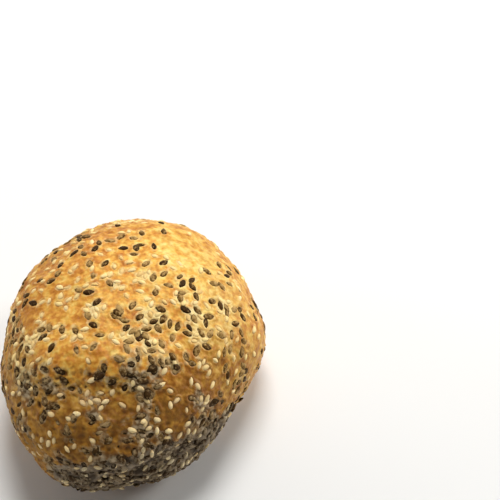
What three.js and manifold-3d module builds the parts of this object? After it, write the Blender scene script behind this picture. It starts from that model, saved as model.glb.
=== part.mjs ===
// A round seeded bread roll, one solid: the crust with its flax and sesame seeds fused on.
// Millimetres, +Z up. The origin is on the flat base, about its middle. -Y is the roll's front.
import * as THREE from "three";
import { ConvexGeometry } from "three/addons/geometries/ConvexGeometry.js";
import { mergeVertices } from "three/addons/utils/BufferGeometryUtils.js";
import Module from "manifold-3d";

// The loaf before its lumps: an oval plan, a domed top and a belly that tucks in towards the base.
const HALF_WIDTH = 46.8;
const HALF_DEPTH = 56.3;
const PLAN_TURN = -23; // degrees that the oval's short axis is turned from +X
const PLAN_CORNERS = 3; // places where the plan bulges a little
const CORNER_BULGE = 0.024; // share by which it does
const CORNER_TURN = 11; // degrees from +X to the first of them
const DOME_HEIGHT = 39; // from the widest level up to the top
const BELT_HEIGHT = 25.5; // from the base up to the widest level
const BELLY_DEPTH = 1.25 * BELT_HEIGHT; // the belly runs on below the base, which cuts it off flat
const DOME_FULLNESS = 2.15; // exponent of the superellipse, 2 is a plain ellipse
const BELLY_FULLNESS = 2.6;
const LEAN = [-0.07, -0.08]; // shift of the top in X and Y for each millimetre of height

// Bulges and hollows that shaping and proving left: lift, centre and reach, in millimetres.
const LUMPS = [
  { place: "right cheek", lift: 1.7, at: [50, 3, 22], reach: [19, 19, 19] },
  { place: "right front flat", lift: -3.0, at: [41, -20, 13], reach: [16, 15, 16] },
  { place: "right front toe", lift: 1.1, at: [24, -39, 11], reach: [19, 19, 19] },
  { place: "front foot", lift: -1.2, at: [-2, -53, 12], reach: [19, 19, 19] },
  { place: "left front toe", lift: 1.0, at: [-25, -49, 16], reach: [19, 19, 19] },
  { place: "left cheek", lift: -0.6, at: [-39, -37, 21], reach: [19, 19, 19] },
  { place: "left back shoulder", lift: 0.4, at: [-41, 19, 39], reach: [19, 19, 19] },
  { place: "back left shoulder", lift: -0.6, at: [-19, 41, 45], reach: [19, 19, 19] },
  { place: "back right shoulder", lift: 0.5, at: [27, 43, 40], reach: [19, 19, 19] },
  { place: "right back flat", lift: -1.3, at: [44, 27, 33], reach: [19, 19, 19] },
  { place: "front hollow", lift: -3.3, at: [-15, -38, 54], reach: [22, 7, 8] },
  { place: "front shoulder", lift: 2.3, at: [-10, -25, 61], reach: [26, 8, 8] },
  { place: "front bulge", lift: 2.2, at: [-2, -53, 39], reach: [24, 9, 6] },
  { place: "front crease", lift: -1.5, at: [4, -55, 29], reach: [28, 10, 4] },
  { place: "back crown", lift: 1.4, at: [4, 40, 50], reach: [20, 14, 12] },
  { place: "back hollow", lift: -1.5, at: [12, 52, 32], reach: [24, 8, 8] },
  { place: "left fold", lift: -1.0, at: [-44, -2, 34], reach: [9, 20, 5] },
  { place: "back tuck", lift: -1.2, at: [-6, 54, 16], reach: [22, 10, 5] },
];

// Slow ripples of the whole crust: lift, and how many waves a span holds along X, Y and Z.
const RIPPLE_SPAN = 100;
const RIPPLES = [
  { lift: 0.28, waves: [3.1, 1.2, 2.3], phase: 0.4 },
  { lift: 0.24, waves: [-1.7, 3.6, 1.9], phase: 2.1 },
  { lift: 0.2, waves: [2.2, -2.6, 4.4], phase: 4.0 },
];

// A seed's length, width and thickness, the share of its width lost at the tip, and how deep it sits.
const FLAX = { length: 4.0, width: 2.25, thickness: 1.4, taper: 0.42, sunk: 0.52 };
const SESAME = { length: 3.0, width: 1.85, thickness: 1.3, taper: 0.36, sunk: 0.52 };
const FLAX_COUNT = 238;
const SESAME_COUNT = 50;
const SEED_FLOOR = 3; // no seed is centred lower than this above the base
const WIDE_SPACING = 4.3; // between seed centres where they lie thinly
const CLOSE_SPACING = 2.3; // and where they crowd
const SEED_SIZE_SPREAD = 0.12; // largest share by which a seed is smaller or larger
const SEED_TILT = 0.16; // radians, the most that a seed leans out of the crust
const SEED_SIDES = 6; // corners of a seed's rim
const SEED_RIDGE = [-0.26, 0.16]; // where the ridge runs, as shares of the length from the middle
const RIM_DEPTH = 0.12; // how far a seed's rim lies below the crust

const CRUST_DETAIL = 9; // subdivisions of the icosahedron that the crust starts from
const NORMAL_STEP = 0.01; // how far to each side, on the unit ball, the crust's slope is measured

// The repeatable draw of random numbers: where it starts, its two constants and its range.
const DRAW_SEED = 20261128;
const DRAW_FACTOR = 1664525;
const DRAW_STEP = 1013904223;
const DRAW_RANGE = 2 ** 32;

// Where the seeds crowd or thin out: share, centre and reach. Elsewhere the thin share holds.
const FLAX_PATCHES = {
  thin: 0.17,
  spots: [
    { place: "right patch", share: 0.5, at: [24, -4, 58], reach: [17, 13, 12] },
    { place: "middle patch", share: 0.7, at: [8, -14, 63], reach: [11, 6, 8] },
    { place: "right edge", share: 0.35, at: [43, -6, 40], reach: [10, 16, 14] },
    { place: "front hollow", share: 0.75, at: [-12, -35, 56], reach: [23, 7.5, 9] },
    { place: "left hollow", share: 0.5, at: [-30, -27, 52], reach: [13, 11, 10] },
    { place: "front bulge", share: 0.35, at: [-6, -47, 48], reach: [20, 8, 8] },
    { place: "base band", share: 1.7, at: [7, -51, 26], reach: [33, 18, 13] },
    { place: "left edge", share: 0.15, at: [-44, -16, 36], reach: [10, 24, 16] },
    { place: "lower left", share: 0.25, at: [-32, -42, 36], reach: [14, 14, 14] },
    { place: "bare top right", share: -0.14, at: [20, 26, 56], reach: [15, 12, 10] },
    { place: "back patch", share: 0.6, at: [-14, 42, 34], reach: [22, 16, 16] },
    { place: "back right patch", share: 0.4, at: [36, 30, 24], reach: [16, 16, 12] },
  ],
};
const SESAME_PATCHES = {
  thin: 0.19,
  spots: [
    { place: "top field", share: 0.45, at: [-4, 8, 64], reach: [15, 13, 10] },
    { place: "right patch", share: 0.35, at: [23, -6, 58], reach: [18, 16, 12] },
    { place: "top left edge", share: 0.2, at: [-26, 26, 52], reach: [13, 12, 10] },
    { place: "left side", share: 0.5, at: [-30, -22, 54], reach: [14, 10, 10] },
    { place: "front hollow", share: 0.5, at: [-2, -38, 55], reach: [16, 9, 9] },
    { place: "lower right", share: 0.35, at: [28, -24, 50], reach: [12, 10, 12] },
    { place: "base band", share: 0.7, at: [7, -51, 26], reach: [33, 18, 13] },
    { place: "bare top right", share: -0.24, at: [20, 24, 57], reach: [17, 15, 12] },
    { place: "back patch", share: 0.5, at: [4, 46, 30], reach: [24, 16, 14] },
  ],
};

const CRUST_COLOUR = 0xcf9546;

const radians = THREE.MathUtils.degToRad;

// How far a point is inside a patch or lump: 1 at its middle, falling off smoothly with its reach.
function nearness(point, at, reach) {
  const x = (point.x - at[0]) / reach[0];
  const y = (point.y - at[1]) / reach[1];
  const z = (point.z - at[2]) / reach[2];
  return Math.exp(-(x * x + y * y + z * z));
}

// The crust's point in one direction from the middle of the widest level.
function crustPoint(direction) {
  const azimuth = Math.atan2(direction.y, direction.x);
  const flat = Math.hypot(direction.x, direction.y);
  const oval = azimuth - radians(PLAN_TURN);
  const plain = 1 / Math.hypot(Math.cos(oval) / HALF_WIDTH, Math.sin(oval) / HALF_DEPTH);
  const corner = PLAN_CORNERS * (azimuth - radians(CORNER_TURN));
  const plan = plain * (1 + CORNER_BULGE * Math.cos(corner));
  const rise = direction.z >= 0 ? DOME_HEIGHT : BELLY_DEPTH;
  const fullness = direction.z >= 0 ? DOME_FULLNESS : BELLY_FULLNESS;
  const sum = Math.pow(flat / plan, fullness) + Math.pow(Math.abs(direction.z) / rise, fullness);
  const point = direction.clone().multiplyScalar(Math.pow(sum, -1 / fullness));
  point.x += LEAN[0] * point.z;
  point.y += LEAN[1] * point.z;
  point.z += BELT_HEIGHT;
  let lift = 0;
  for (const lump of LUMPS) {
    lift += lump.lift * nearness(point, lump.at, lump.reach);
  }
  for (const ripple of RIPPLES) {
    const waves = new THREE.Vector3(...ripple.waves).dot(point) / RIPPLE_SPAN;
    lift += ripple.lift * Math.sin(2 * Math.PI * waves + ripple.phase);
  }
  return point.addScaledVector(direction, lift);
}

// The crust's outward normal in one direction, from two points a little to each side.
function crustNormal(direction) {
  const side = new THREE.Vector3(-direction.y, direction.x, 0).normalize();
  const up = new THREE.Vector3().crossVectors(direction, side);
  const here = crustPoint(direction);
  const beside = crustPoint(direction.clone().addScaledVector(side, NORMAL_STEP).normalize());
  const above = crustPoint(direction.clone().addScaledVector(up, NORMAL_STEP).normalize());
  return beside.sub(here).cross(above.sub(here)).normalize();
}

// A repeatable draw of numbers from 0 up to 1.
function drawFrom(seed) {
  let state = seed >>> 0;
  return () => {
    state = (Math.imul(state, DRAW_FACTOR) + DRAW_STEP) >>> 0;
    return state / DRAW_RANGE;
  };
}

// How thickly seeds lie at a point, from 0 for bare to 1 for crowded.
function shareAt(point, patches) {
  let share = patches.thin;
  for (const spot of patches.spots) {
    share += spot.share * nearness(point, spot.at, spot.reach);
  }
  return THREE.MathUtils.clamp(share, 0, 1);
}

// Places for one kind of seed. Each keeps its distance from all seeds placed before it.
function scatter(count, patches, placed, draw) {
  const places = [];
  while (places.length < count) {
    const height = 2 * draw() - 1;
    const azimuth = 2 * Math.PI * draw();
    const chance = draw();
    const heading = draw();
    const size = draw();
    const tilt = draw();
    const flat = Math.sqrt(1 - height * height);
    const direction = new THREE.Vector3(flat * Math.cos(azimuth), flat * Math.sin(azimuth), height);
    const foot = crustPoint(direction);
    const share = shareAt(foot, patches);
    const spacing = THREE.MathUtils.lerp(WIDE_SPACING, CLOSE_SPACING, share);
    const wanted = foot.z >= SEED_FLOOR && chance <= share;
    if (wanted && placed.every((other) => other.distanceTo(foot) >= spacing)) {
      placed.push(foot);
      places.push({ direction, foot, heading, size, tilt });
    }
  }
  return places;
}

// A closed mesh as a solid that can be joined and cut.
function solidOf(wasm, geometry) {
  const bare = geometry.clone();
  bare.deleteAttribute("normal");
  bare.deleteAttribute("uv");
  const merged = mergeVertices(bare);
  return new wasm.Manifold(
    new wasm.Mesh({
      numProp: 3,
      vertProperties: merged.attributes.position.array,
      triVerts: new Uint32Array(merged.index.array),
    }),
  );
}

// The bare crust, still with its belly running on below the base.
function crustGeometry() {
  const geometry = new THREE.IcosahedronGeometry(1, CRUST_DETAIL);
  geometry.deleteAttribute("normal");
  geometry.deleteAttribute("uv");
  const ball = mergeVertices(geometry);
  const position = ball.attributes.position;
  const direction = new THREE.Vector3();
  for (let i = 0; i < position.count; i++) {
    direction.fromBufferAttribute(position, i).normalize();
    const point = crustPoint(direction);
    position.setXYZ(i, point.x, point.y, point.z);
  }
  return ball;
}

// One seed, a flat drop lying along +X with its tip forward: a rim, a rounded back with a ridge, and a keel.
function seedGeometry(kind) {
  const rim = [];
  for (let i = 0; i < SEED_SIDES; i++) {
    const turn = (2 * Math.PI * i) / SEED_SIDES;
    const narrowing = 1 - kind.taper * Math.max(Math.cos(turn), 0);
    const x = (Math.cos(turn) * kind.length) / 2;
    const y = (Math.sin(turn) * narrowing * kind.width) / 2;
    rim.push(new THREE.Vector3(x, y, 0));
  }
  const crown = (1 - kind.sunk) * kind.thickness;
  const ridge = [
    new THREE.Vector3(SEED_RIDGE[0] * kind.length, 0, crown),
    new THREE.Vector3(SEED_RIDGE[1] * kind.length, 0, crown),
  ];
  const keel = new THREE.Vector3(0, 0, -kind.sunk * kind.thickness);
  return new ConvexGeometry([...rim, ...ridge, keel]);
}

// A seed's geometry where it lies: flat on the crust, turned to its heading and sunk a little.
function laidSeed(kind, place) {
  const normal = crustNormal(place.direction);
  const level = new THREE.Vector3(-place.direction.y, place.direction.x, 0).normalize();
  const along = level.applyAxisAngle(normal, 2 * Math.PI * place.heading);
  along.addScaledVector(normal, -along.dot(normal) + SEED_TILT * (2 * place.tilt - 1)).normalize();
  const across = new THREE.Vector3().crossVectors(normal, along).normalize();
  const up = new THREE.Vector3().crossVectors(along, across);
  const scale = 1 + SEED_SIZE_SPREAD * (2 * place.size - 1);
  const centre = place.foot.clone().addScaledVector(normal, -RIM_DEPTH);
  const matrix = new THREE.Matrix4().makeBasis(along, across, up);
  matrix.scale(new THREE.Vector3(scale, scale, scale));
  matrix.setPosition(centre);
  return seedGeometry(kind).applyMatrix4(matrix);
}

// Everything below the base, to be cut away.
function belowBase() {
  const room = 4 * HALF_DEPTH;
  const depth = 2 * BELLY_DEPTH;
  return new THREE.BoxGeometry(room, room, depth).translate(0, 0, -depth / 2);
}

// The finished roll: the crust with every seed fused on, cut off flat at its base.
async function rollGeometry() {
  const wasm = await Module();
  wasm.setup();
  const draw = drawFrom(DRAW_SEED);
  const placed = [];
  const flax = scatter(FLAX_COUNT, FLAX_PATCHES, placed, draw);
  const sesame = scatter(SESAME_COUNT, SESAME_PATCHES, placed, draw);
  let roll = solidOf(wasm, crustGeometry());
  for (const place of flax) {
    roll = roll.add(solidOf(wasm, laidSeed(FLAX, place)));
  }
  for (const place of sesame) {
    roll = roll.add(solidOf(wasm, laidSeed(SESAME, place)));
  }
  roll = roll.subtract(solidOf(wasm, belowBase()));
  const mesh = roll.getMesh();
  return new THREE.BufferGeometry()
    .setAttribute("position", new THREE.BufferAttribute(mesh.vertProperties, 3))
    .setIndex(new THREE.BufferAttribute(mesh.triVerts, 1));
}

const crust = new THREE.MeshStandardMaterial({ color: CRUST_COLOUR, roughness: 0.6, metalness: 0 });
const rollMesh = new THREE.Mesh(await rollGeometry(), crust);
rollMesh.name = "roll";

const part = new THREE.Group();
part.name = "seeded_roll";
part.add(rollMesh);

export default part;
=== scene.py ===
# %% [markdown]
# # A seeded bread roll
# This lesson builds one round bakery roll that was dipped in flax and sesame seeds before it was baked.
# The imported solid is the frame: it fixes the size and the form. Blender adds what the eye notices,
# a wrinkled golden crust, brown flax seeds, cream sesame seeds and the grey-beige film between them.

# %% Load the frame
import math

import bmesh
import bpy
import numpy as np
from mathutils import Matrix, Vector, noise
from mathutils.bvhtree import BVHTree
from mathutils.kdtree import KDTree


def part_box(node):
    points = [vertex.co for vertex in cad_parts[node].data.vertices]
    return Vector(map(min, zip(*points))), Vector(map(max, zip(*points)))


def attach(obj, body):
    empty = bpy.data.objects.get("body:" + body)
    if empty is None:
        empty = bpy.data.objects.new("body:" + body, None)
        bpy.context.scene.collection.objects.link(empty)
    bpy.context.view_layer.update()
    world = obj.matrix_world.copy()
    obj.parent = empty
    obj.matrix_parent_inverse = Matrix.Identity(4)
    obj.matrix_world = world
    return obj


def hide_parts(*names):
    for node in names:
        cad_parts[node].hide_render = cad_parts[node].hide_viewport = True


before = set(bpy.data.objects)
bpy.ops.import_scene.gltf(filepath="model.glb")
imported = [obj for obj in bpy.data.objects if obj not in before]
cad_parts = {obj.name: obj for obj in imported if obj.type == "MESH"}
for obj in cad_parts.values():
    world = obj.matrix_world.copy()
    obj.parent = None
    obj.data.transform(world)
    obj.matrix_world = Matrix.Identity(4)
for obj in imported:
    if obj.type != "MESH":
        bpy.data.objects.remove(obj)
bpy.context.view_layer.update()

MM = 0.001  # metres in a millimetre
roll_low, roll_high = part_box("roll")
print("the solid measures", [round((high - low) / MM, 1) for low, high in zip(roll_low, roll_high)], "mm")

# %% [markdown]
# ## Small helpers
# The importer leaves its objects selected, and an operator works on all that is selected, so every step first
# clears the selection. Colours are picked as hex values from a screen, where they are sRGB. The shader wants
# linear light, so one function turns them.


# %% Helpers for selection, colours and shader nodes
def deselect_all():
    """Clears the selection, which the importer leaves on the frame."""
    for item in bpy.context.selected_objects:
        item.select_set(False)


def linear(hex_colour):
    """An sRGB hex colour as linear red, green, blue and alpha."""
    channels = [int(hex_colour[i : i + 2], 16) / 255 for i in (1, 3, 5)]
    return [c / 12.92 if c <= 0.04045 else ((c + 0.055) / 1.055) ** 2.4 for c in channels] + [1.0]


def per_metre(millimetres):
    """The scale of a noise texture whose blotches are this wide, on coordinates in metres."""
    return 1 / (millimetres * MM)


def add_node(tree, kind, settings=None, links=None, stops=None):
    """Adds one shader node with its properties, socket values, links and, on a colour ramp, its stops."""
    node = tree.nodes.new("ShaderNode" + kind)
    for name, value in (settings or {}).items():
        if isinstance(name, str) and hasattr(node, name):
            setattr(node, name, value)
        else:
            node.inputs[name].default_value = value
    for name, socket in (links or {}).items():
        tree.links.new(socket, node.inputs[name])
    for index, (place, colour) in enumerate(stops or []):
        elements = node.color_ramp.elements
        element = elements[index] if index < len(elements) else elements.new(place)
        element.position = place
        element.color = linear(colour)
    return node


def new_material(name):
    """An empty node material with its Principled shader joined to the output."""
    material = bpy.data.materials.new(name)
    material.use_nodes = True
    tree = material.node_tree
    tree.nodes.clear()
    shader = add_node(tree, "BsdfPrincipled")
    add_node(tree, "OutputMaterial", links={"Surface": shader.outputs["BSDF"]})
    return material, tree, shader


# %% [markdown]
# ## The camera
# The photograph looks down on the roll from 55 degrees above the horizon, with a long lens: sides that run
# away from the viewer hardly narrow. A flax seed is 4 to 5 mm long and covers 11 or 12 pixels, which sets
# the scale at the roll to 0.38 mm a pixel. The roll sits low and left in the frame, so the camera stands
# a little to its right and looks past it, and the lens needs no shift.

# %% Place the camera
PHOTO_SIDE = 500  # pixels
FIELD = math.radians(14)
LOOK_DOWN = math.radians(55)
MM_PER_PIXEL = 0.38
ROLL_PIXEL = (129.8, 350.2)  # where the roll's middle lies in the photograph
ROLL_MIDDLE = Vector((0, 0, 25.5 * MM))

forward = Vector((0, math.cos(LOOK_DOWN), -math.sin(LOOK_DOWN)))
right = Vector((1, 0, 0))
up = right.cross(forward)
distance = PHOTO_SIDE / 2 / math.tan(FIELD / 2) * MM_PER_PIXEL * MM
aside = (PHOTO_SIDE / 2 - ROLL_PIXEL[0]) * MM_PER_PIXEL * MM
above = (ROLL_PIXEL[1] - PHOTO_SIDE / 2) * MM_PER_PIXEL * MM
eye = ROLL_MIDDLE - forward * distance + right * aside + up * above

deselect_all()
bpy.ops.object.camera_add(location=eye, rotation=forward.to_track_quat("-Z", "Y").to_euler())
camera = bpy.context.object
camera.name = "camera"
camera.data.angle = FIELD
camera.data.clip_start = 10 * MM
bpy.context.scene.camera = camera
print("the camera stands", round(distance, 3), "m away")

# %% [markdown]
# ## The form of the loaf
# A proved ball of dough is neither a ball nor an egg. Its plan is a turned oval with three faint corners,
# its top is a low dome, and its belly tucks in under the widest level and is cut off flat where it sat
# on the baking sheet. The loaf could be sculpted by hand, but then it would drift away from the solid.
# So its form is a rule, the same one that the solid follows: a superellipse for dome and belly, then a list
# of soft lumps and three slow ripples. The rule takes directions from the middle of the widest level
# and gives points in millimetres.

# %% The rule of the crust
HALF_WIDTH = 46.8  # mm, as are all lengths of the rule
HALF_DEPTH = 56.3
PLAN_TURN = math.radians(-23)  # that the oval's short axis is turned from +X
PLAN_CORNERS = 3
CORNER_BULGE = 0.024  # share by which the plan reaches further at a corner
CORNER_TURN = math.radians(11)
DOME_HEIGHT = 39
BELT_HEIGHT = 25.5
BELLY_DEPTH = 1.25 * BELT_HEIGHT  # the belly runs on below the base
DOME_FULLNESS = 2.15  # exponent of the superellipse, which is 2 for a plain ellipse
BELLY_FULLNESS = 2.6
LEAN = (-0.07, -0.08)  # mm aside along X and Y for each mm above the widest level

# Bulges and hollows: name, lift, centre and reach.
LUMPS = [
    ("right cheek", 1.7, (50, 3, 22), (19, 19, 19)),
    ("right front flat", -3.0, (41, -20, 13), (16, 15, 16)),
    ("right front toe", 1.1, (24, -39, 11), (19, 19, 19)),
    ("front foot", -1.2, (-2, -53, 12), (19, 19, 19)),
    ("left front toe", 1.0, (-25, -49, 16), (19, 19, 19)),
    ("left cheek", -0.6, (-39, -37, 21), (19, 19, 19)),
    ("left back shoulder", 0.4, (-41, 19, 39), (19, 19, 19)),
    ("back left shoulder", -0.6, (-19, 41, 45), (19, 19, 19)),
    ("back right shoulder", 0.5, (27, 43, 40), (19, 19, 19)),
    ("right back flat", -1.3, (44, 27, 33), (19, 19, 19)),
    ("front hollow", -3.3, (-15, -38, 54), (22, 7, 8)),
    ("front shoulder", 2.3, (-10, -25, 61), (26, 8, 8)),
    ("front bulge", 2.2, (-2, -53, 39), (24, 9, 6)),
    ("front crease", -1.5, (4, -55, 29), (28, 10, 4)),
    ("back crown", 1.4, (4, 40, 50), (20, 14, 12)),
    ("back hollow", -1.5, (12, 52, 32), (24, 8, 8)),
    ("left fold", -1.0, (-44, -2, 34), (9, 20, 5)),
    ("back tuck", -1.2, (-6, 54, 16), (22, 10, 5)),
]
# Slow ripples: lift, waves in a span along X, Y and Z, and phase.
RIPPLE_SPAN = 100
RIPPLES = [
    (0.28, (3.1, 1.2, 2.3), 0.4),
    (0.24, (-1.7, 3.6, 1.9), 2.1),
    (0.2, (2.2, -2.6, 4.4), 4.0),
]


def nearness(points, at, reach):
    """1 at the middle of a patch or lump, falling off smoothly with its reach."""
    gap = (points - np.array(at)) / np.array(reach)
    return np.exp(-(gap * gap).sum(-1))


def crust_points(directions):
    """The crust's points, in millimetres, in directions from the middle of the widest level."""
    x, y, z = directions[..., 0], directions[..., 1], directions[..., 2]
    azimuth = np.arctan2(y, x)
    oval = azimuth - PLAN_TURN
    plain = 1 / np.hypot(np.cos(oval) / HALF_WIDTH, np.sin(oval) / HALF_DEPTH)
    plan = plain * (1 + CORNER_BULGE * np.cos(PLAN_CORNERS * (azimuth - CORNER_TURN)))
    rise = np.where(z >= 0, DOME_HEIGHT, BELLY_DEPTH)
    fullness = np.where(z >= 0, DOME_FULLNESS, BELLY_FULLNESS)
    total = (np.hypot(x, y) / plan) ** fullness + (np.abs(z) / rise) ** fullness
    points = directions * (total ** (-1 / fullness))[..., None]
    points[..., 0] += LEAN[0] * points[..., 2]
    points[..., 1] += LEAN[1] * points[..., 2]
    points[..., 2] += BELT_HEIGHT
    lift = sum(lump_lift * nearness(points, at, reach) for _, lump_lift, at, reach in LUMPS)
    for ripple_lift, waves, phase in RIPPLES:
        lift = lift + ripple_lift * np.sin(2 * np.pi * (points @ np.array(waves)) / RIPPLE_SPAN + phase)
    return points + directions * lift[..., None]


# %% [markdown]
# ## The crust's mesh
# A cube is the start, because its faces split into even quads where a globe would pinch at its poles.
# It is subdivided until a quad is about half a millimetre wide, and then each point goes out to the crust
# in its own direction. Points that would fall below the table stop on it, over a small rounded edge,
# as dough does on a baking sheet.

# %% Subdivide a cube and push its points out to the crust
SPLITS = 7  # each split halves the quads, and seven keep the piece under 200,000 triangles
UPWARD = 0.22  # share by which directions lean up, so that the quads are finer on top than underneath
EDGE_ROUNDING = 2.5  # mm, over which the belly rounds into the flat base
LEAST_DROP = 1e-6  # keeps the division from zero for directions that don't go down

deselect_all()
bpy.ops.mesh.primitive_cube_add(size=2, location=(0, 0, 0))
crust = bpy.context.object
crust.name = "crust"
bpy.ops.object.mode_set(mode="EDIT")
bpy.ops.mesh.select_all(action="SELECT")
for _ in range(SPLITS):
    bpy.ops.mesh.subdivide(number_cuts=1)
bpy.ops.object.mode_set(mode="OBJECT")


def read_points(piece):
    """A mesh's points in millimetres, one row each."""
    points = np.empty(len(piece.data.vertices) * 3)
    piece.data.vertices.foreach_get("co", points)
    return points.reshape(-1, 3) / MM


def write_points(piece, points):
    """Puts points in millimetres back into the mesh."""
    piece.data.vertices.foreach_set("co", (points * MM).ravel())
    piece.data.update()


def read_normals(piece):
    """A mesh's point normals, one row each."""
    normals = np.empty(len(piece.data.vertices) * 3)
    piece.data.vertex_normals.foreach_get("vector", normals)
    return normals.reshape(-1, 3)


def unit(vectors):
    """The same directions with length one."""
    return vectors / np.linalg.norm(vectors, axis=-1, keepdims=True)


even_cube = np.tan(read_points(crust) * MM * math.pi / 4)
directions = unit(unit(even_cube) + np.array([0, 0, UPWARD]))
full_form = crust_points(directions)
rays = directions + directions[:, 2:] * np.array([*LEAN, 0])
past_table = -full_form[:, 2] / np.maximum(-directions[:, 2], LEAST_DROP)
blend = np.clip(0.5 + 0.5 * past_table / EDGE_ROUNDING, 0, 1)
shorten = blend * past_table + EDGE_ROUNDING * blend * (1 - blend)
loaf_form = full_form - rays * shorten[:, None]
loaf_form[:, 2] = np.maximum(loaf_form[:, 2], 0)
write_points(crust, loaf_form)
print("the crust has", len(crust.data.polygons), "quads and is", round(loaf_form[:, 2].max(), 1), "mm high")

# %% [markdown]
# ## Where the seeds lie
# The dough ball was wetted and dipped, so seeds crowd in hollows and round the foot, and thin out on the
# smooth crown. Placing them one by one would be endless. Instead a rule draws random directions and keeps
# each with the chance that its patch gives, unless it falls too close to a seed that lies there already.
# The first flax and sesame seeds are the ones that the solid has too. More of both follow, closer together,
# the flax in clumps, and then some clean sesame on the front. The last seeds lie on top of others,
# in the mat round the foot, in the hollows and in the middle patch.

# %% Scatter the seeds by a repeatable draw
DRAW_SEED = 20261128
DRAW_FACTOR = 1664525
DRAW_STEP = 1013904223
DRAW_RANGE = 2**32

SEED_FLOOR = 3  # mm above the base
# Millimetres between seed centres, where they lie thinly and where they crowd.
FIRST_SPACING = (4.3, 2.3)
MORE_FLAX_SPACING = (3.0, 1.6)
MORE_SESAME_SPACING = (2.6, 1.7)
FRONT_SESAME_SPACING = (2.6, 1.5)
PILED_FLAX_SPACING = (4.0, 1.6)
PILED_SESAME_SPACING = (4.0, 1.9)
FLAX_FIRST = 238
SESAME_FIRST = 50
FLAX_MORE = 440
SESAME_MORE = 300
FRONT_SESAME = 30
PILED_FLAX = 310
PILED_SESAME = 48
CLUMP_WIDTH = 9  # mm, of the clumps that the later seeds lie in
CLUMP_EDGE = (-0.25, 0.1)  # of a noise between about -0.5 and 0.5
# Centres and reaches of the places where clumps join: left hollow, front hollow, left side, lower right.
CLOSED_PATCHES = [
    ((-33, -30, 50), (8, 8, 8)),
    ((2, -33, 58), (14, 6, 7)),
    ((-40, -26, 38), (9, 13, 14)),
    ((22, -24, 55), (9, 5, 8)),
]

# Patches: name, share, centre and reach. The first number is the share that holds everywhere.
FLAX_PATCHES = (0.17, [
    ("right patch", 0.5, (24, -4, 58), (17, 13, 12)),
    ("middle patch", 0.7, (8, -14, 63), (11, 6, 8)),
    ("right edge", 0.35, (43, -6, 40), (10, 16, 14)),
    ("front hollow", 0.75, (-12, -35, 56), (23, 7.5, 9)),
    ("left hollow", 0.5, (-30, -27, 52), (13, 11, 10)),
    ("front bulge", 0.35, (-6, -47, 48), (20, 8, 8)),
    ("base band", 1.7, (7, -51, 26), (33, 18, 13)),
    ("left edge", 0.15, (-44, -16, 36), (10, 24, 16)),
    ("lower left", 0.25, (-32, -42, 36), (14, 14, 14)),
    ("bare top right", -0.14, (20, 26, 56), (15, 12, 10)),
    ("back patch", 0.6, (-14, 42, 34), (22, 16, 16)),
    ("back right patch", 0.4, (36, 30, 24), (16, 16, 12)),
])
SESAME_PATCHES = (0.19, [
    ("top field", 0.45, (-4, 8, 64), (15, 13, 10)),
    ("right patch", 0.35, (23, -6, 58), (18, 16, 12)),
    ("top left edge", 0.2, (-26, 26, 52), (13, 12, 10)),
    ("left side", 0.5, (-30, -22, 54), (14, 10, 10)),
    ("front hollow", 0.5, (-2, -38, 55), (16, 9, 9)),
    ("lower right", 0.35, (28, -24, 50), (12, 10, 12)),
    ("base band", 0.7, (7, -51, 26), (33, 18, 13)),
    ("bare top right", -0.24, (20, 24, 57), (17, 15, 12)),
    ("back patch", 0.5, (4, 46, 30), (24, 16, 14)),
])
# Where the loaf was pressed into the tray of seeds, round the foot, they form a closed mat.
MAT_EDGE = (0.28, 0.42)
MAT_PATCHES = (0.0, [
    ("front foot", 1.0, (4, -53, 24), (26, 14, 17)),
    ("right front foot", 1.0, (30, -36, 16), (17, 16, 14)),
    ("left front foot", 0.6, (-12, -54, 25), (12, 10, 9)),
    ("back foot", 0.7, (-6, 52, 8), (30, 14, 10)),
    ("left back foot", 0.6, (-38, 26, 8), (14, 18, 9)),
])
MAT_CROWDING = 2  # how many times the mat's shares count for the seeds on the crust
PILE_CROWDING = 1.6  # and for the seeds on top of others and the folds


def mat_times(factor):
    """The mat's patches with each share multiplied."""
    return [(name, factor * more, at, reach) for name, more, at, reach in MAT_PATCHES[1]]


MORE_FLAX_PATCHES = (0.12, [
    *FLAX_PATCHES[1],
    *mat_times(MAT_CROWDING),
    ("right patch", -0.3, (24, -4, 58), (17, 13, 12)),
    ("right edge", -0.35, (43, -6, 40), (10, 16, 14)),
    ("top middle", 0.5, (4, 26, 61), (10, 7, 8)),
    ("right shoulder", 0.3, (36, 6, 52), (9, 12, 9)),
    ("hollow's middle", -1.2, (-19, -33, 57), (6, 8, 7)),
    ("left edge", 0.3, (-42, -8, 42), (8, 18, 14)),
    ("left middle", 0.2, (-33, -12, 52), (10, 14, 12)),
    ("lower right", 0.7, (22, -24, 55), (9, 5, 8)),
    ("left side", 0.5, (-40, -26, 38), (9, 13, 14)),
    ("front hollow", 0.5, (2, -33, 58), (14, 6, 7)),
])
MORE_SESAME_PATCHES = (0.19, [
    *SESAME_PATCHES[1],
    ("front hollow", -0.5, (-8, -37, 55), (22, 9, 9)),
    ("front bulge", -0.15, (0, -50, 42), (28, 9, 9)),
    ("right shoulder", 0.3, (36, 6, 52), (9, 12, 9)),
    ("left middle", 0.35, (-24, -8, 59), (14, 12, 9)),
    ("left edge", 0.3, (-42, -8, 42), (8, 18, 14)),
])
FRONT_SESAME_PATCHES = (0.0, [
    ("front hollow", 0.4, (0, -37, 55), (24, 9, 9)),
    ("front bulge", 0.6, (6, -50, 40), (28, 10, 12)),
    ("left side", 0.4, (-38, -20, 42), (12, 16, 14)),
])
PILED_PATCHES = (0.0, [
    *mat_times(PILE_CROWDING),
    ("front hollow", 0.4, (2, -33, 58), (14, 6, 7)),
    ("left hollow", 0.4, (-33, -30, 50), (8, 8, 8)),
    ("middle patch", 0.3, (8, -14, 63), (10, 5, 8)),
])
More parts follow.
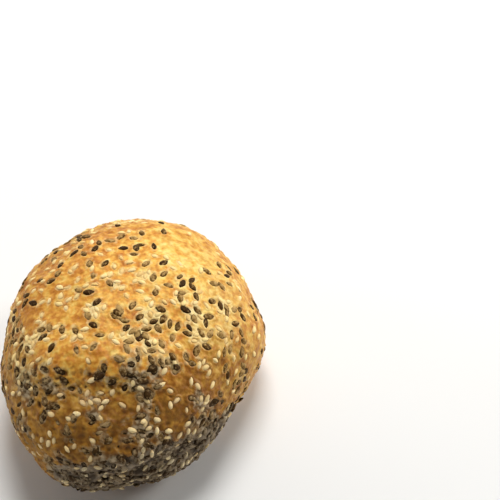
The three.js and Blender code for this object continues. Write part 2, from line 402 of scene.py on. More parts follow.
PILED_SESAME_PATCHES = (0.0, [
    *mat_times(PILE_CROWDING),
    ("front hollow", 0.2, (-12, -35, 56), (22, 7, 9)),
])

# Where the film that joins the seeds lies in folds.
FOLD_PATCHES = (0.0, [
    *mat_times(PILE_CROWDING),
    ("front hollow", 0.9, (-12, -35, 56), (26, 9, 10)),
    ("left hollow", 0.6, (-32, -27, 50), (13, 12, 10)),
    ("front bulge", 0.35, (-6, -49, 44), (28, 10, 9)),
    ("lower left", 0.5, (-36, -38, 32), (12, 14, 14)),
    ("middle patch", 0.4, (8, -14, 63), (12, 6, 8)),
])


def draws(seed):
    """Repeatable numbers from 0 up to 1."""
    state = seed
    while True:
        state = (state * DRAW_FACTOR + DRAW_STEP) % DRAW_RANGE
        yield state / DRAW_RANGE


def share_at(point, patches):
    """How thickly seeds lie at a point, from 0 for bare to 1 for crowded."""
    everywhere, spots = patches
    share = everywhere + sum(more * nearness(point, at, reach) for _, more, at, reach in spots)
    return np.clip(share, 0, 1)


def step_up(values, low, high):
    """0 below low, 1 above high, and smooth between."""
    share = np.clip((values - low) / (high - low), 0, 1)
    return share * share * (3 - 2 * share)


def mat_at(points):
    """How far the mat of seeds round the foot covers these points."""
    cover = sum(more * nearness(points, at, reach) for _, more, at, reach in MAT_PATCHES[1])
    return step_up(cover, *MAT_EDGE)


def clump_at(point):
    """How far a point lies in a clump, from 0 between clumps to 1 inside."""
    return float(step_up(noise.noise(Vector(point / CLUMP_WIDTH)), *CLUMP_EDGE))


def scatter(count, patches, placed, draw, spacing, clumped=False):
    """Directions, feet and draws for one kind of seed, each at its distance from those placed before."""
    wide, close = spacing
    places = []
    while len(places) < count:
        height = 2 * next(draw) - 1
        azimuth = 2 * math.pi * next(draw)
        chance, heading, size, tilt = next(draw), next(draw), next(draw), next(draw)
        flat = math.sqrt(1 - height * height)
        direction = np.array([flat * math.cos(azimuth), flat * math.sin(azimuth), height])
        foot = crust_points(direction)
        share = share_at(foot, patches)
        if clumped:
            closed = max(nearness(foot, *patch) for patch in CLOSED_PATCHES)
            share *= max(clump_at(foot), mat_at(foot), closed)
        gap = wide + (close - wide) * share
        if foot[2] < SEED_FLOOR or chance > share:
            continue
        if placed and (np.linalg.norm(np.array(placed) - foot, axis=1) < gap).any():
            continue
        placed.append(foot)
        places.append([*direction, *foot, heading, size, tilt])
    return np.array(places)


draw = draws(DRAW_SEED)
placed = []
flax_places = scatter(FLAX_FIRST, FLAX_PATCHES, placed, draw, FIRST_SPACING)
sesame_places = scatter(SESAME_FIRST, SESAME_PATCHES, placed, draw, FIRST_SPACING)
more_flax = scatter(FLAX_MORE, MORE_FLAX_PATCHES, placed, draw, MORE_FLAX_SPACING, clumped=True)
more_sesame = scatter(SESAME_MORE, MORE_SESAME_PATCHES, placed, draw, MORE_SESAME_SPACING)
front_sesame = scatter(FRONT_SESAME, FRONT_SESAME_PATCHES, placed, draw, FRONT_SESAME_SPACING)
piled_flax = scatter(PILED_FLAX, PILED_PATCHES, [], draw, PILED_FLAX_SPACING, clumped=True)
piled_sesame = scatter(PILED_SESAME, PILED_SESAME_PATCHES, [], draw, PILED_SESAME_SPACING, clumped=True)
print(len(placed), "seeds lie on the crust and", len(piled_flax) + len(piled_sesame), "on other seeds")

# %% [markdown]
# ## Wrinkles, blisters and folds
# Steam and drying leave fine relief on a crust: soft wrinkles some millimetres apart, smaller crumples
# between them, and blisters under two millimetres across. Where seeds crowd, their film lies in folds.
# All four are displaced into the mesh here, so that they catch the light at the outline too.
# What is finer than the mesh is left to the material's bump. The base stays flat.

# %% Displace the crust
WRINKLE_WIDTH = 5.5  # mm
WRINKLE_HEIGHT = 0.8
CRUMPLE_WIDTH = 2.4
CRUMPLE_HEIGHT = 0.4
BLISTER_WIDTH = 1.7
BLISTER_HEIGHT = 0.4
FOLD_WIDTH = 3.0
FOLD_HEIGHT = 2.6  # for a change of 1 in the texture, which changes by about 0.3 from crest to pit
FOLD_LEVEL = 0.15  # of the texture, where the crust keeps its height
FOLD_DEPTH = 0.4
RELIEF_FLOOR = 3.0  # mm above the base, where the relief reaches its full height


def weigh(piece, name, weights):
    """Keeps weights from 0 to 1 as a vertex group, in tenths."""
    group = piece.vertex_groups.new(name=name)
    tenths = np.round(weights, 1)
    for level in np.unique(tenths):
        group.add(np.nonzero(tenths == level)[0].tolist(), float(level), "REPLACE")


def displace(piece, name, kind, width, height, where, level=0.5, settings=None):
    """Displaces a piece along its normals by a procedural texture, weighed by a vertex group."""
    texture = bpy.data.textures.new(name, kind)
    texture.noise_scale = width * MM
    for setting, value in (settings or {}).items():
        setattr(texture, setting, value)
    modifier = piece.modifiers.new(name, "DISPLACE")
    modifier.mid_level = level
    modifier.texture = texture
    modifier.texture_coords = "LOCAL"
    modifier.strength = height * MM
    modifier.vertex_group = where
    bpy.ops.object.modifier_apply(modifier=modifier.name)


relief_share = np.clip(loaf_form[:, 2] / RELIEF_FLOOR, 0, 1)
weigh(crust, "relief", relief_share)
weigh(crust, "crowded", relief_share * share_at(loaf_form, FOLD_PATCHES))
bpy.context.view_layer.objects.active = crust
displace(crust, "wrinkles", "CLOUDS", WRINKLE_WIDTH, WRINKLE_HEIGHT, "relief")
displace(crust, "crumples", "CLOUDS", CRUMPLE_WIDTH, CRUMPLE_HEIGHT, "relief")
displace(crust, "blisters", "VORONOI", BLISTER_WIDTH, -BLISTER_HEIGHT, "relief")
outward = read_normals(crust)
unfolded = read_points(crust)
to_borders = {"weight_1": -1.0, "weight_2": 1.0}  # 0 on the borders between a Voronoi texture's cells
displace(crust, "folds", "VORONOI", FOLD_WIDTH, -FOLD_HEIGHT, "crowded", FOLD_LEVEL, to_borders)
fold_rise = np.clip(((read_points(crust) - unfolded) * outward).sum(1) / FOLD_DEPTH, -1, 1)
crust.vertex_groups.clear()
print("the folds rise from", round(fold_rise.min(), 2), "to", round(fold_rise.max(), 2))
relief_moved = np.linalg.norm(read_points(crust) - loaf_form, axis=1)
print("the relief moved points by up to", round(relief_moved.max(), 2), "mm")

# %% [markdown]
# ## How a seed lies
# Each seed lies flat on the crust, turned any way, and sinks in a little. The crust rose round it
# in the oven, which leaves a dimple under the seed and a faint collar around it. The foot of every seed
# is first moved on to the wrinkled crust. A seed on top of others lies higher and tilts more.

# %% Work out the seeds' axes and feet
NORMAL_STEP = 0.01  # between the directions from which a normal is worked out
SEED_TILT = 0.16  # radians
SEED_SIZE_SPREAD = 0.12  # share by which a seed's size differs at most
PILED_LIFT = 0.45  # mm, that a seed on top of others lies higher
PILED_TILT = 0.45  # radians
FRONT_LIFT = 0.15  # mm, by which the clean sesame of the front stands proud


def crust_normals(at):
    """Outward normals of the crust's form in these directions."""
    side = unit(np.stack([-at[:, 1], at[:, 0], np.zeros(len(at))], axis=1))
    above_side = np.cross(at, side)
    here = crust_points(at)
    beside = crust_points(unit(at + side * NORMAL_STEP))
    higher = crust_points(unit(at + above_side * NORMAL_STEP))
    return unit(np.cross(beside - here, higher - here)), side


def lay_seeds(places, surface, tilt_limit, lift):
    """Feet, axes and sizes of the seeds at these places."""
    at, feet = places[:, :3], places[:, 3:6].copy()
    heading, size, tilt = places[:, 6:].T
    normal, side = crust_normals(at)
    level = unit(side - normal * (side * normal).sum(1, keepdims=True))
    turn = 2 * np.pi * heading[:, None]
    lean = tilt_limit * (2 * tilt[:, None] - 1)
    along = unit(level * np.cos(turn) + np.cross(normal, level) * np.sin(turn) + normal * lean)
    across = unit(np.cross(normal, along))
    upward = np.cross(along, across)
    for i, foot in enumerate(feet):
        nearest = surface.find_nearest(Vector(foot * MM))[0]
        feet[i] += normal[i] * ((np.array(nearest) / MM - foot) @ normal[i])
    scale = 1 + SEED_SIZE_SPREAD * (2 * size - 1)
    return {
        "feet": feet + normal * lift,
        "along": along,
        "across": across,
        "up": upward,
        "scale": scale,
    }


def surface_of(piece):
    """A search tree over a piece's faces."""
    shape = bmesh.new()
    shape.from_mesh(piece.data)
    tree = BVHTree.FromBMesh(shape)
    shape.free()
    return tree


def together(*groups):
    """Several groups of laid seeds as one."""
    return {key: np.concatenate([group[key] for group in groups]) for key in groups[0]}


surface = surface_of(crust)
flax = together(
    lay_seeds(flax_places, surface, SEED_TILT, 0),
    lay_seeds(more_flax, surface, SEED_TILT, 0),
    lay_seeds(piled_flax, surface, PILED_TILT, PILED_LIFT),
)
sesame = together(
    lay_seeds(sesame_places, surface, SEED_TILT, 0),
    lay_seeds(more_sesame, surface, SEED_TILT, 0),
    lay_seeds(front_sesame, surface, SEED_TILT, FRONT_LIFT),
    lay_seeds(piled_sesame, surface, PILED_TILT, PILED_LIFT),
)
print(len(flax["feet"]), "flax seeds and", len(sesame["feet"]), "sesame seeds")

# %% [markdown]
# ## Dimples and the pale film
# The wet dough round a seed leaves a film of starch that bakes pale and grey-beige instead of golden. Where
# seeds crowd, the films join. Seven numbers are stored on every point of the crust for its material: how near
# a seed lies, how far the films join, how far the mat covers the point, how high its fold stands,
# how far it lies on the front, how far it is browned and darkened by painted shade, and by how much its tint
# differs.

# %% Press the seeds into the crust and store the film
FLAX_SIZE = np.array([4.15, 2.4, 1.3])  # mm: length, width and thickness
SESAME_SIZE = np.array([3.1, 1.9, 1.1])
DIMPLE = 0.12  # mm deep
COLLAR = 0.28  # mm high
FRONT_COLLAR = 1.0  # share by which the collars are higher where the crust is browned
COLLAR_PLACE = 1.25  # where the collar runs, in half lengths and half widths from the seed's middle
COLLAR_WIDTH = 0.28  # in the same measure
HALO_WIDTH = 0.9  # in the same measure, how far the film reaches past the seed's rim
CROWD_REACH = 3.2  # mm, over which seeds count as a crowd
CROWD_LIMIT = 2.2  # reaches away, past which a seed no longer counts
CROWD = (1.7, 4.2)  # from where the films begin to join up to where they cover all
# The crust darkens low down, most of all towards the front, which faces away from the lamps: partly browning,
# partly painted shade.
BROWN_SHADE_TOP = 63  # mm above the base, where the crown's gold begins to darken
BROWN_SHADE_BOTTOM = 49  # and where it is dark
BROWN_SHADE_BEHIND = 0.35  # share of the browning that the back gets
BROWN_SHADE_FORWARD = 1.3  # how fast the browning grows from the middle to the front
# In front, the film's pale tone turns to a darker grey-beige, partly its own colour and partly painted shade.
FRONT = (18, 32)  # mm in front of the middle, where the film's tone turns from pale to baked
# Paler and more orange patches of the crust: name, change of tint, centre and reach.
TINT_PATCHES = [
    ("bare top right", 0.16, (20, 22, 57), (19, 16, 13)),
    ("right shoulder", 0.12, (34, 0, 52), (13, 22, 14)),
    ("top left", -0.09, (-10, 26, 56), (24, 18, 14)),
    ("left crown", -0.1, (-34, 0, 50), (16, 22, 14)),
    ("left hollow", 0.12, (-30, -33, 48), (14, 9, 10)),
    ("left front", 0.14, (-32, -46, 32), (16, 14, 16)),
    ("front bulge", -0.02, (4, -54, 44), (18, 12, 9)),
    ("lower right", -0.2, (24, -32, 46), (14, 11, 11)),
]


def brown_and_shade_at(points):
    """How dark the crust is at these points, from 0 on the crown to 1 low on the front: partly browning,
    partly painted shade.
    """
    low_down = step_up(BROWN_SHADE_TOP - points[:, 2], 0, BROWN_SHADE_TOP - BROWN_SHADE_BOTTOM)
    facing = BROWN_SHADE_BEHIND + (1 - BROWN_SHADE_BEHIND) * np.clip(-BROWN_SHADE_FORWARD * points[:, 1] / HALF_DEPTH, 0, 1)
    return low_down * facing


points = read_points(crust)
normals = read_normals(crust)
tree = KDTree(len(points))
for i, point in enumerate(points):
    tree.insert(point, i)
tree.balance()

dimple = np.zeros(len(points))
collar = np.zeros(len(points))
halo = np.zeros(len(points))
crowd = np.zeros(len(points))
for seeds, size in ((flax, FLAX_SIZE), (sesame, SESAME_SIZE)):
    for i, foot in enumerate(seeds["feet"]):
        found = np.array([index for _, index, _ in tree.find_range(foot, CROWD_LIMIT * CROWD_REACH)], int)
        if not len(found):
            continue
        offset = points[found] - foot
        half = size[:2] / 2 * seeds["scale"][i]
        away = np.hypot(offset @ seeds["along"][i] / half[0], offset @ seeds["across"][i] / half[1])
        dimple[found] = np.maximum(dimple[found], np.exp(-(away**4)))
        collar[found] = np.maximum(collar[found], np.exp(-(((away - COLLAR_PLACE) / COLLAR_WIDTH) ** 2)))
        halo[found] = np.maximum(halo[found], np.exp(-((np.maximum(away - 1, 0) / HALO_WIDTH) ** 2)))
        crowd[found] += np.exp(-(np.linalg.norm(offset, axis=1) / CROWD_REACH) ** 2)
rim_height = COLLAR * (1 + FRONT_COLLAR * brown_and_shade_at(points))
pressed = points + normals * ((rim_height * collar * (1 - dimple) - DIMPLE * dimple) * relief_share)[:, None]
pressed[:, 2] = np.where(loaf_form[:, 2] <= 0, 0, np.maximum(pressed[:, 2], 0))
write_points(crust, pressed)


def front_at(points):
    """How far the points lie on the front, from 0 to 1."""
    return step_up(-points[:, 1], *FRONT)


def store(piece, name, values):
    """Keeps one number for each point, for the material."""
    attribute = piece.data.attributes.new(name, "FLOAT", "POINT")
    attribute.data.foreach_set("value", np.asarray(values, np.float32))


store(crust, "halo", halo)
store(crust, "crowded", step_up(crowd, *CROWD))
store(crust, "mat", mat_at(pressed))
store(crust, "fold", fold_rise)
store(crust, "front", front_at(pressed))
# Darker low down and towards the front: partly browning, partly painted shade.
store(crust, "brown_and_shade", brown_and_shade_at(pressed))
store(crust, "tint", sum(change * nearness(pressed, at, reach) for _, change, at, reach in TINT_PATCHES))
deselect_all()
crust.select_set(True)
bpy.context.view_layer.objects.active = crust
bpy.ops.object.shade_smooth()
print("the film covers", round(100 * (halo > 0.5).mean()), "per cent of the crust")

# %% [markdown]
# ## A flax seed and a sesame seed
# A flax seed is a flat drop with a rounded back and a drawn-out tip. A sesame seed is shorter and plumper.
# Both start from a globe with few faces, because each is repeated hundreds of times: its rings are squeezed
# one by one in edit mode, more towards the tip, and the whole is flattened to the seed's thickness.

# %% Model the two seeds
RINGS = 8
SIDES = 8
RING_TOLERANCE = 0.01  # of the globe's width, within which a point belongs to a ring


def model_seed(name, size, taper, onset):
    """One seed in millimetres along X, tip forward: narrowed by taper, the later the higher onset is."""
    deselect_all()
    bpy.ops.mesh.primitive_uv_sphere_add(segments=SIDES, ring_count=RINGS, radius=0.5, location=(0, 0, 0))
    seed = bpy.context.object
    seed.name = name
    bpy.ops.object.mode_set(mode="EDIT")
    bpy.ops.mesh.select_all(action="SELECT")
    bpy.ops.transform.rotate(value=math.pi / 2, orient_axis="Y", center_override=(0, 0, 0))
    bpy.ops.mesh.select_mode(type="VERT")
    for ring in range(1, RINGS):
        place = 0.5 * math.cos(math.pi * ring / RINGS)
        narrowing = 1 - taper * max(2 * place, 0) ** onset
        bpy.ops.mesh.select_all(action="DESELECT")
        shape = bmesh.from_edit_mesh(seed.data)
        for vertex in shape.verts:
            vertex.select_set(abs(vertex.co.x - place) < RING_TOLERANCE)
        shape.select_flush_mode()
        bmesh.update_edit_mesh(seed.data)
        bpy.ops.transform.resize(value=(1, narrowing, 0.5 + 0.5 * narrowing))
    bpy.ops.mesh.select_all(action="SELECT")
    bpy.ops.transform.resize(value=tuple(size), center_override=(0, 0, 0))
    bpy.ops.mesh.normals_make_consistent(inside=False)
    bpy.ops.object.mode_set(mode="OBJECT")
    return seed


flax_model = model_seed("flax_model", FLAX_SIZE, taper=0.58, onset=1.6)
sesame_model = model_seed("sesame_model", SESAME_SIZE, taper=0.36, onset=1.8)
print("each seed has", len(flax_model.data.polygons), "faces")

# %% [markdown]
# ## Scattering the seeds
# Every seed is a copy of its model with its own size, bend and place, and all of one kind are joined in one
# mesh. Making hundreds of objects and joining them is slow, so the copies' points and faces are written
# as arrays. The mesh keeps five numbers for the material: a tone for each seed, how high a point stands
# above its seed's foot, which sets the painted shade at the foot, a painted highlight that grows with that
# height and fades towards the front, how far the seed lies on the front, where it takes a painted shade
# tone, and how thickly the film coats it.

# %% Join the copies of each kind
SEED_BEND = 0.22  # mm, the most that a seed's tip bends aside
SEED_UNEVEN = 0.1  # share by which width and thickness differ from seed to seed
SEED_LIFT = 0.12  # mm, that the middle of the highest seeds lies above the crust
SEED_SINK = 0.3  # and by how much more the deepest ones have sunk in
SEED_LOWEST = 0.1  # mm above the base, below which no point of a seed lies
MAT_COAT = 0.85  # how far the film coats the seeds of the mat
FLAX_CHANCE = 11  # where the random numbers for the seeds' sizes and tones start
SESAME_CHANCE = 12


def join_seeds(name, model, seeds, size, start, front_sink, front_coat):
    """All seeds of one kind as one mesh, from copies of their model."""
    chance = np.random.default_rng(start)
    base = np.empty(len(model.data.vertices) * 3)
    model.data.vertices.foreach_get("co", base)
    base = base.reshape(-1, 3)
    faces = [list(face.vertices) for face in model.data.polygons]
    count = len(seeds["feet"])
    uneven = 1 + SEED_UNEVEN * chance.uniform(-1, 1, (count, 3))
    bend = SEED_BEND * chance.uniform(-1, 1, count)
    sink = chance.uniform(0, 1, count)
    local = base[None] * (seeds["scale"][:, None] * uneven)[:, None, :]
    local[:, :, 1] += bend[:, None] * (2 * base[None, :, 0] / size[0]) ** 2
    front = front_at(seeds["feet"])
    depth = (SEED_SINK + front_sink * front) * sink
    local[:, :, 2] += (SEED_LIFT - depth)[:, None]
    axes = np.stack([seeds["along"], seeds["across"], seeds["up"]], axis=1)
    world = seeds["feet"][:, None, :] + np.einsum("npk,nkc->npc", local, axes)
    world[:, :, 2] = np.maximum(world[:, :, 2], SEED_LOWEST)
    all_faces = [[corner + n * len(base) for corner in face] for n in range(count) for face in faces]
    mesh = bpy.data.meshes.new(name)
    mesh.from_pydata((world.reshape(-1, 3) * MM).tolist(), [], all_faces)
    mesh.update()
    piece = bpy.data.objects.new(name, mesh)
    bpy.context.scene.collection.objects.link(piece)
    store(piece, "tone", np.repeat(chance.uniform(0, 1, count), len(base)))
    # The height also sets the painted shade at each seed's foot.
    store(piece, "height", local[:, :, 2].ravel())
    # A painted highlight: the seed's height, fading towards the front, laid on as pale film on the seed's
    # top.
    store(piece, "painted_highlight", (local[:, :, 2] * (1 - front)[:, None]).ravel())
    # On the front, the material gives each seed a painted shade tone.
    store(piece, "front", np.repeat(front, len(base)))
    coat = np.maximum(MAT_COAT * mat_at(seeds["feet"]), front_coat * front)
    store(piece, "coat", np.repeat(coat, len(base)))
    mesh.shade_smooth()
    bpy.data.objects.remove(model)
    return piece


flax_piece = join_seeds(
    "flax_seeds", flax_model, flax, FLAX_SIZE, FLAX_CHANCE, front_sink=0.8, front_coat=0.4
)
sesame_piece = join_seeds(
    "sesame_seeds", sesame_model, sesame, SESAME_SIZE, SESAME_CHANCE, front_sink=0, front_coat=0
)
print(len(flax_piece.data.polygons), "flax faces and", len(sesame_piece.data.polygons), "sesame faces")

# %% [markdown]
# ## Baked crust
# A crust is dried, browned starch and gluten. On the crown it is pale gold and low on the front amber brown,
# partly from browning and partly as painted shade of the front, with blotches 3 to 4 mm wide and a grain of
# about 2 mm. Round the seeds lies the starch film, satin rather than glossy: pale on the crown, grey-beige on
# the front, where its darker tone is partly painted shade, and round the foot grey from the husks. The pits
# between the film's folds are darkened as painted shade.

# %% Material: baked crust
MIX_FACTOR, MIX_A, MIX_B, MIX_RESULT = 0, 6, 7, 2  # a colour mix's sockets
# Widths in millimetres.
BLOTCHES = 3.4
GRAIN = 1.8
FILM_EDGE = 2.0
HUSK_PATCHES = 5.0
PORES = 0.7
# How much each of these adds to the noise that decides where the film shows.
CROWD_WEIGHT = 0.5
HALO_WEIGHT = 0.5
BROWN_SHADE_WEIGHT = -0.14
FOLD_WEIGHT = 0.15

crust_material, nodes, shader = new_material("baked_crust")
place = add_node(nodes, "TexCoord").outputs["Object"]
blotches = add_node(
    nodes, "TexNoise", {"Scale": per_metre(BLOTCHES), "Detail": 2.5, "Roughness": 0.55}, {"Vector": place}
)
tint = add_node(nodes, "Attribute", {"attribute_name": "tint"})
tinted = add_node(
    nodes, "Math", {"operation": "ADD"}, {0: blotches.outputs["Fac"], 1: tint.outputs["Fac"]}
)
crown = add_node(
    nodes,
    "ValToRGB",
    links={"Fac": tinted.outputs["Value"]},
    stops=[(0.32, "#C47E28"), (0.44, "#D89638"), (0.54, "#E4AD4A"), (0.68, "#ECC86C"), (0.86, "#F3DA8C")],
)
# The flank's darker browns, mixed in low on the front, are partly browning and partly painted shade.
flank = add_node(
    nodes,
    "ValToRGB",
    links={"Fac": tinted.outputs["Value"]},
    stops=[(0.34, "#7A521C"), (0.5, "#966824"), (0.66, "#B48230")],
)
brown_and_shade = add_node(nodes, "Attribute", {"attribute_name": "brown_and_shade"}).outputs["Fac"]
browned_and_shaded = add_node(
    nodes,
    "Mix",
    {"data_type": "RGBA"},
    {MIX_FACTOR: brown_and_shade, MIX_A: crown.outputs["Color"], MIX_B: flank.outputs["Color"]},
)
grain = add_node(
    nodes, "TexNoise", {"Scale": per_metre(GRAIN), "Detail": 1.0, "Roughness": 0.5}, {"Vector": place}
)
grain_tone = add_node(
    nodes,
    "ValToRGB",
    links={"Fac": grain.outputs["Fac"]},
    stops=[(0.36, "#D8BC90"), (0.5, "#F4EEE2"), (0.64, "#FFFFFF")],
)

# The film, ragged round the seeds and closed in the mat.
film_noise = add_node(
    nodes, "TexNoise", {"Scale": per_metre(FILM_EDGE), "Detail": 3.0, "Roughness": 0.65}, {"Vector": place}
)
halo_value = add_node(nodes, "Attribute", {"attribute_name": "halo"})
crowd_value = add_node(nodes, "Attribute", {"attribute_name": "crowded"})
mat = add_node(nodes, "Attribute", {"attribute_name": "mat"}).outputs["Fac"]
crowd_share = add_node(
    nodes,
    "Math",
    {"operation": "MULTIPLY_ADD", 1: CROWD_WEIGHT},
    {0: crowd_value.outputs["Fac"], 2: film_noise.outputs["Fac"]},
)
film_level = add_node(
    nodes,
    "Math",
    {"operation": "MULTIPLY_ADD", 1: HALO_WEIGHT},
    {0: halo_value.outputs["Fac"], 2: crowd_share.outputs["Value"]},
)
front_level = add_node(
    nodes, "Math", {"operation": "MULTIPLY_ADD", 1: BROWN_SHADE_WEIGHT}, {0: brown_and_shade, 2: film_level.outputs["Value"]}
)
fold = add_node(nodes, "Attribute", {"attribute_name": "fold"}).outputs["Fac"]
fold_level = add_node(
    nodes, "Math", {"operation": "MULTIPLY_ADD", 1: FOLD_WEIGHT}, {0: fold, 2: front_level.outputs["Value"]}
)
patchy_film = add_node(
    nodes,
    "MapRange",
    {"From Min": 0.85, "From Max": 1.3, "To Min": 0.0, "To Max": 0.9},
    {"Value": fold_level.outputs["Value"]},
)
mat_level = add_node(nodes, "Math", {"operation": "ADD"}, {0: mat, 1: film_noise.outputs["Fac"]})
mat_film = add_node(
    nodes,
    "MapRange",
    {"From Min": 1.05, "From Max": 1.35, "To Min": 0.0, "To Max": 1.0},
    {"Value": mat_level.outputs["Value"]},
).outputs["Result"]
film_here = add_node(nodes, "Math", {"operation": "MAXIMUM"}, {0: patchy_film.outputs["Result"], 1: mat_film})
# Painted shade: the film on the front turns darker and greyer, partly its own colour and partly painted
# shade.
front_film_shade = add_node(nodes, "Attribute", {"attribute_name": "front"}).outputs["Fac"]
front_film_shade_streaks = add_node(
    nodes,
    "ValToRGB",
    links={"Fac": grain.outputs["Fac"]},
    stops=[(0.4, "#6E5E46"), (0.6, "#B4A284")],
)
film_pale = add_node(
    nodes,
    "Mix",
    {"data_type": "RGBA", MIX_A: linear("#F2DEA2")},
    {MIX_FACTOR: front_film_shade, MIX_B: front_film_shade_streaks.outputs["Color"]},
)
husk_noise = add_node(
    nodes, "TexNoise", {"Scale": per_metre(HUSK_PATCHES), "Detail": 1.0, "Roughness": 0.5}, {"Vector": place}
)
husk_film = add_node(
    nodes,
    "ValToRGB",
    links={"Fac": husk_noise.outputs["Fac"]},
    stops=[(0.38, "#483C2E"), (0.62, "#968670")],
)
film_tone = add_node(
    nodes,
    "Mix",
    {"data_type": "RGBA"},
    {MIX_FACTOR: mat_film, MIX_A: film_pale.outputs[MIX_RESULT], MIX_B: husk_film.outputs["Color"]},
)
filmed = add_node(
    nodes,
    "Mix",
    {"data_type": "RGBA"},
    {
        MIX_FACTOR: film_here.outputs["Value"],
        MIX_A: browned_and_shaded.outputs[MIX_RESULT],
        MIX_B: film_tone.outputs[MIX_RESULT],
    },
)
grained = add_node(
    nodes,
    "Mix",
    {"data_type": "RGBA", "blend_type": "MULTIPLY", MIX_FACTOR: 0.65},
    {MIX_A: filmed.outputs[MIX_RESULT], MIX_B: grain_tone.outputs["Color"]},
)
# Painted shade: the pits between the film's folds are darkened.
fold_place = add_node(nodes, "MapRange", {"From Min": -1.0, "From Max": 1.0}, {"Value": fold})
painted_pit_shade = add_node(
    nodes,
    "ValToRGB",
    links={"Fac": fold_place.outputs["Result"]},
    stops=[(0.0, "#786448"), (0.48, "#FFFFFF")],
)
pit_shaded = add_node(
    nodes,
    "Mix",
    {"data_type": "RGBA", "blend_type": "MULTIPLY", MIX_FACTOR: 1.0},
    {MIX_A: grained.outputs[MIX_RESULT], MIX_B: painted_pit_shade.outputs["Color"]},
)
nodes.links.new(pit_shaded.outputs[MIX_RESULT], shader.inputs["Base Color"])
roughness = add_node(
    nodes, "MapRange", {"To Min": 0.5, "To Max": 0.75}, {"Value": film_here.outputs["Value"]}
)
nodes.links.new(roughness.outputs["Result"], shader.inputs["Roughness"])
shader.inputs["IOR"].default_value = 1.45
shader.inputs["Specular IOR Level"].default_value = 0.25
pores = add_node(
    nodes, "TexNoise", {"Scale": per_metre(PORES), "Detail": 3.0, "Roughness": 0.6}, {"Vector": place}
)
relief = add_node(
    nodes, "Bump", {"Strength": 0.32, "Distance": 0.3 * MM}, {"Height": pores.outputs["Fac"]}
)
nodes.links.new(relief.outputs["Normal"], shader.inputs["Normal"])
crust.data.materials.append(crust_material)
print("made", crust_material.name)

# %% [markdown]
# ## Seed husks
# A flax husk is smooth and satin, dark brown to grey-brown, and each seed has its own tone. A sesame seed
# is hulled: cream, satin, and golden where the oven caught it. The starch film dries on both in ragged
# patches, pale on the crown and thicker and greyer in the mat. The numbers stored on the mesh tell where.
# Painted shade darkens each seed towards its foot and gives the seeds on the front a shade tone. On the
# crown, a painted highlight lies on the tops of the seeds as pale film.

# %% Materials: flax husk and hulled sesame
RAGGED_FILM = 1.2  # mm
HUSK_WRINKLES = 0.6  # mm; a real husk's are finer, and these are as coarse as they need to be to show
# How much each of these adds to the noise that decides where a seed shows film.
COAT_WEIGHT = 0.16
TONE_WEIGHT = 0.22
# The height's weight lays a painted highlight on each seed's top.
PAINTED_HIGHLIGHT_WEIGHT = 0.12


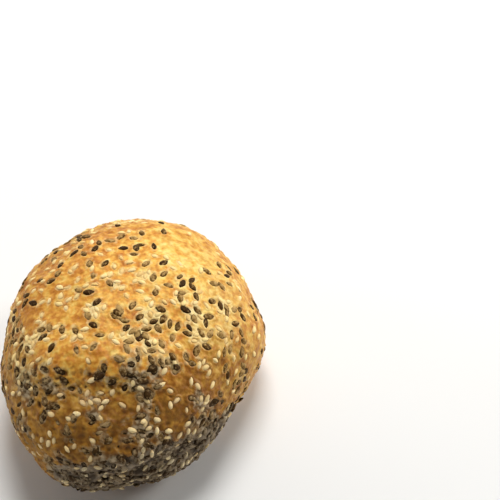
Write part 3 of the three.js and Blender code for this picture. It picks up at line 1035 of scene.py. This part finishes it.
def coated_seed(name, tones, painted_front_shade, foot, film, coat_film, roughness, specular):
    """A husk with a tone for each seed and a painted shade tone for the front, darkened towards its foot by
    painted shade, with ragged film on it.
    """
    material, tree, husk_shader = new_material(name)
    coordinates = add_node(tree, "TexCoord").outputs["Object"]
    tone = add_node(tree, "Attribute", {"attribute_name": "tone"})
    husk = add_node(tree, "ValToRGB", links={"Fac": tone.outputs["Fac"]}, stops=tones)
    # Painted shade: seeds on the front take up to half of a shade tone.
    front = add_node(tree, "Attribute", {"attribute_name": "front"})
    front_share = add_node(tree, "MapRange", {"To Min": 0.0, "To Max": 0.5}, {"Value": front.outputs["Fac"]})
    toned = add_node(
        tree,
        "Mix",
        {"data_type": "RGBA", MIX_B: linear(painted_front_shade)},
        {MIX_FACTOR: front_share.outputs["Result"], MIX_A: husk.outputs["Color"]},
    )
    height = add_node(tree, "Attribute", {"attribute_name": "height"})
    # Painted shade: each seed is darkened towards its foot, where it meets the crust.
    foot_shade_fade = add_node(
        tree,
        "MapRange",
        {"From Min": -0.05, "From Max": 0.7, "To Min": 0.0, "To Max": 1.0},
        {"Value": height.outputs["Fac"]},
    )
    shaded = add_node(
        tree,
        "Mix",
        {"data_type": "RGBA", MIX_A: linear(foot)},
        {MIX_FACTOR: foot_shade_fade.outputs["Result"], MIX_B: toned.outputs[MIX_RESULT]},
    )
    ragged = add_node(
        tree,
        "TexNoise",
        {"Scale": per_metre(RAGGED_FILM), "Detail": 2.0, "Roughness": 0.6},
        {"Vector": coordinates},
    )
    coat = add_node(tree, "Attribute", {"attribute_name": "coat"}).outputs["Fac"]
    by_place = add_node(
        tree, "Math", {"operation": "MULTIPLY_ADD", 1: COAT_WEIGHT}, {0: coat, 2: ragged.outputs["Fac"]}
    )
    by_seed = add_node(
        tree,
        "Math",
        {"operation": "MULTIPLY_ADD", 1: TONE_WEIGHT},
        {0: tone.outputs["Fac"], 2: by_place.outputs["Value"]},
    )
    # Painted highlight: more pale film towards the top of each seed, except on the front.
    painted_highlight = add_node(tree, "Attribute", {"attribute_name": "painted_highlight"})
    with_painted_highlight = add_node(
        tree,
        "Math",
        {"operation": "MULTIPLY_ADD", 1: PAINTED_HIGHLIGHT_WEIGHT},
        {0: painted_highlight.outputs["Fac"], 2: by_seed.outputs["Value"]},
    )
    share = add_node(
        tree,
        "MapRange",
        {"From Min": 0.62, "From Max": 0.84, "To Min": 0.0, "To Max": 0.9},
        {"Value": with_painted_highlight.outputs["Value"]},
    )
    film_tone = add_node(
        tree,
        "Mix",
        {"data_type": "RGBA", MIX_A: linear(film), MIX_B: linear(coat_film)},
        {MIX_FACTOR: coat},
    )
    coated = add_node(
        tree,
        "Mix",
        {"data_type": "RGBA"},
        {
            MIX_FACTOR: share.outputs["Result"],
            MIX_A: shaded.outputs[MIX_RESULT],
            MIX_B: film_tone.outputs[MIX_RESULT],
        },
    )
    tree.links.new(coated.outputs[MIX_RESULT], husk_shader.inputs["Base Color"])
    wrinkles = add_node(
        tree, "TexNoise", {"Scale": per_metre(HUSK_WRINKLES), "Detail": 2.0}, {"Vector": coordinates}
    )
    wrinkled = add_node(
        tree, "Bump", {"Strength": 0.5, "Distance": 0.12 * MM}, {"Height": wrinkles.outputs["Fac"]}
    )
    tree.links.new(wrinkled.outputs["Normal"], husk_shader.inputs["Normal"])
    husk_shader.inputs["Roughness"].default_value = roughness
    husk_shader.inputs["Specular IOR Level"].default_value = specular
    husk_shader.inputs["IOR"].default_value = 1.48
    print("made", name)
    return material


flax_husk = coated_seed(
    "flax_husk",
    tones=[(0.0, "#382208"), (0.3, "#583A12"), (0.65, "#765422"), (1.0, "#98743A")],
    # Painted shade: the darker tone of the flax on the front, which lies in shade.
    painted_front_shade="#3C2A18",
    # foot: the colour of the painted shade at each flax seed's foot
    foot="#302008",
    film="#B4925A",
    coat_film="#8C7E68",
    roughness=0.55,
    specular=0.08,
)
hulled_sesame = coated_seed(
    "hulled_sesame",
    tones=[(0.0, "#E4B866"), (0.15, "#F4D48A"), (0.5, "#FCE49A"), (1.0, "#FEEEBA")],
    # Painted shade: the greyer cream of the sesame on the front, which lies in shade.
    painted_front_shade="#F4E2BC",
    # foot: the colour of the painted shade at each sesame seed's foot
    foot="#CCA66C",
    film="#F0D08A",
    coat_film="#B4A68A",
    roughness=0.6,
    specular=0.15,
)
flax_piece.data.materials.append(flax_husk)
sesame_piece.data.materials.append(hulled_sesame)

# %% [markdown]
# ## Table and light
# The photograph's light comes in low from behind and from the right, and bright from above: the crown shines
# and the front lies in half shade. A wide lamp behind the roll, a small one at each side and one above it
# do that, and a weak lamp in front and a dim even world keep the shade open. The table is plain and pale.

# %% Set the table and the lights
TABLE_SIDE = 6  # metres
LAMPS_AWAY = 1.2  # metres

deselect_all()
bpy.ops.mesh.primitive_plane_add(size=TABLE_SIDE, location=(0, 0, 0))
table = bpy.context.object
table.name = "table"
table_material, _, table_shader = new_material("pale_table")
table_shader.inputs["Base Color"].default_value = linear("#ECEBE8")
table_shader.inputs["Roughness"].default_value = 0.8
table.data.materials.append(table_material)


def add_lamp(name, azimuth, elevation, width, height, watts):
    """A soft lamp that faces the roll, azimuth turned from behind it towards its right."""
    turn, rise = math.radians(azimuth), math.radians(elevation)
    towards = Vector((math.sin(turn) * math.cos(rise), math.cos(turn) * math.cos(rise), math.sin(rise)))
    deselect_all()
    bpy.ops.object.light_add(
        type="AREA",
        location=ROLL_MIDDLE + towards * LAMPS_AWAY,
        rotation=towards.to_track_quat("Z", "Y").to_euler(),
    )
    lamp = bpy.context.object
    lamp.name = name
    lamp.data.shape = "RECTANGLE"
    lamp.data.size = width
    lamp.data.size_y = height
    lamp.data.energy = watts


add_lamp("back_lamp", azimuth=-10, elevation=20, width=2.2, height=0.4, watts=7)
add_lamp("right_lamp", azimuth=65, elevation=18, width=0.4, height=0.4, watts=9)
add_lamp("left_lamp", azimuth=-85, elevation=15, width=0.5, height=0.5, watts=3)
add_lamp("top_lamp", azimuth=10, elevation=68, width=0.5, height=0.5, watts=12)
add_lamp("front_lamp", azimuth=180, elevation=12, width=0.8, height=0.3, watts=2)
world = bpy.data.worlds.new("even_world")
world.use_nodes = True
world.node_tree.nodes["Background"].inputs["Color"].default_value = linear("#F4F6F8")
world.node_tree.nodes["Background"].inputs["Strength"].default_value = 0.06
bpy.context.scene.world = world
bpy.context.scene.view_settings.view_transform = "Standard"
print("the lamps are set")

# %% [markdown]
# ## The pieces on the frame
# The three pieces ride on the roll's one body and stand for its solid.

# %% Join the pieces to the frame
for piece, slot in ((crust, "crust"), (flax_piece, "flax_seeds"), (sesame_piece, "sesame_seeds")):
    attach(piece, "root")
    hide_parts("roll")
